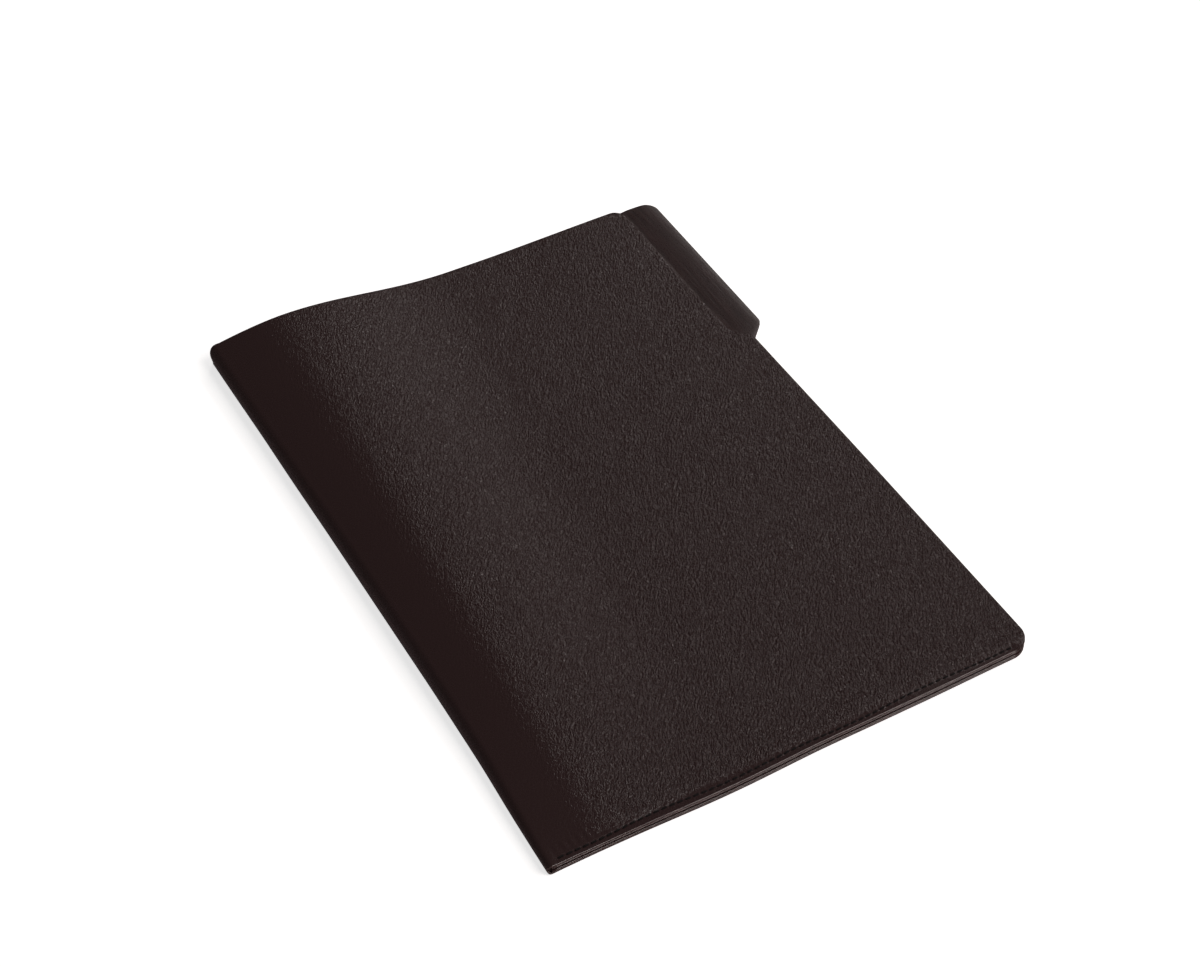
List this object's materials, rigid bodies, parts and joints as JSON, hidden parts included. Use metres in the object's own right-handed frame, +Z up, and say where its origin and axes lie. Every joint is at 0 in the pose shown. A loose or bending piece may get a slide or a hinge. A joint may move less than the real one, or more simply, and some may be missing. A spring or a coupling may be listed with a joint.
{
  "type": "tabbed leather document folder",
  "caption": "Slim folding leather document folder for loose sheets, with a soft spine, a filing tab on the back cover's fore edge and a sewn pocket across the tail of each cover.",
  "frame": {"origin": "middle of the underside of the closed folder, the tab included in its width", "axes": "+X from the spine to the fore edge, +Y from the tail to the head, +Z up out of the front cover"},
  "size_m": [0.2246, 0.31, 0.0132],
  "materials": {
    "hide": "pebbled, semi-matt, very dark brown",
    "lining_leather": "thin skiver, fine grain, matt",
    "smooth_leather": "smooth, lightly waxed",
    "board": "bonded fibre board, matt",
    "tape": "woven tape",
    "thread": "bonded twisted thread"
  },
  "bodies": {
    "back_cover": {"back_cover_leather": "hide", "back_stiffener": "board", "back_lining": "lining_leather", "tab_facing": "smooth_leather", "tab_stiffener": "board", "back_pocket_sewn_edge": "smooth_leather", "back_seam_needle_thread": "thread", "back_seam_bobbin_thread": "thread"},
    "spine": {"spine_leather": "hide", "spine_reinforcement_tape": "tape", "spine_lining": "lining_leather"},
    "front_cover": {"front_cover_leather": "hide", "front_stiffener": "board", "front_lining": "lining_leather", "front_pocket_sewn_edge": "smooth_leather", "front_seam_needle_thread": "thread", "front_seam_bobbin_thread": "thread"},
    "back_pocket": {"back_pocket_flap": "smooth_leather"},
    "front_pocket": {"front_pocket_flap": "smooth_leather"}
  },
  "joints": [
    {"name": "spine_fold", "type": "hinge", "parent": "back_cover", "child": "spine", "pos_m": [-0.11185, 0, 0.0004], "axis": [0, -1, 0], "range_deg": [0, 90]},
    {"name": "front_fold", "type": "hinge", "parent": "spine", "child": "front_cover", "pos_m": [-0.11185, 0, 0.0049], "axis": [0, -1, 0], "range_deg": [0, 90]},
    {"name": "back_pocket_gape", "type": "hinge", "parent": "back_cover", "child": "back_pocket", "pos_m": [0, -0.1504, 0.0018], "axis": [1, 0, 0], "range_deg": [0, 6.5]},
    {"name": "front_pocket_gape", "type": "hinge", "parent": "front_cover", "child": "front_pocket", "pos_m": [0, -0.1504, 0.0035], "axis": [-1, 0, 0], "range_deg": [0, 6.5]}
  ],
  "couplings": [
    {"joint": "back_pocket_gape", "follows": "spine_fold", "ratio": 0.066667},
    {"joint": "front_pocket_gape", "follows": "front_fold", "ratio": 0.066667}
  ]
}
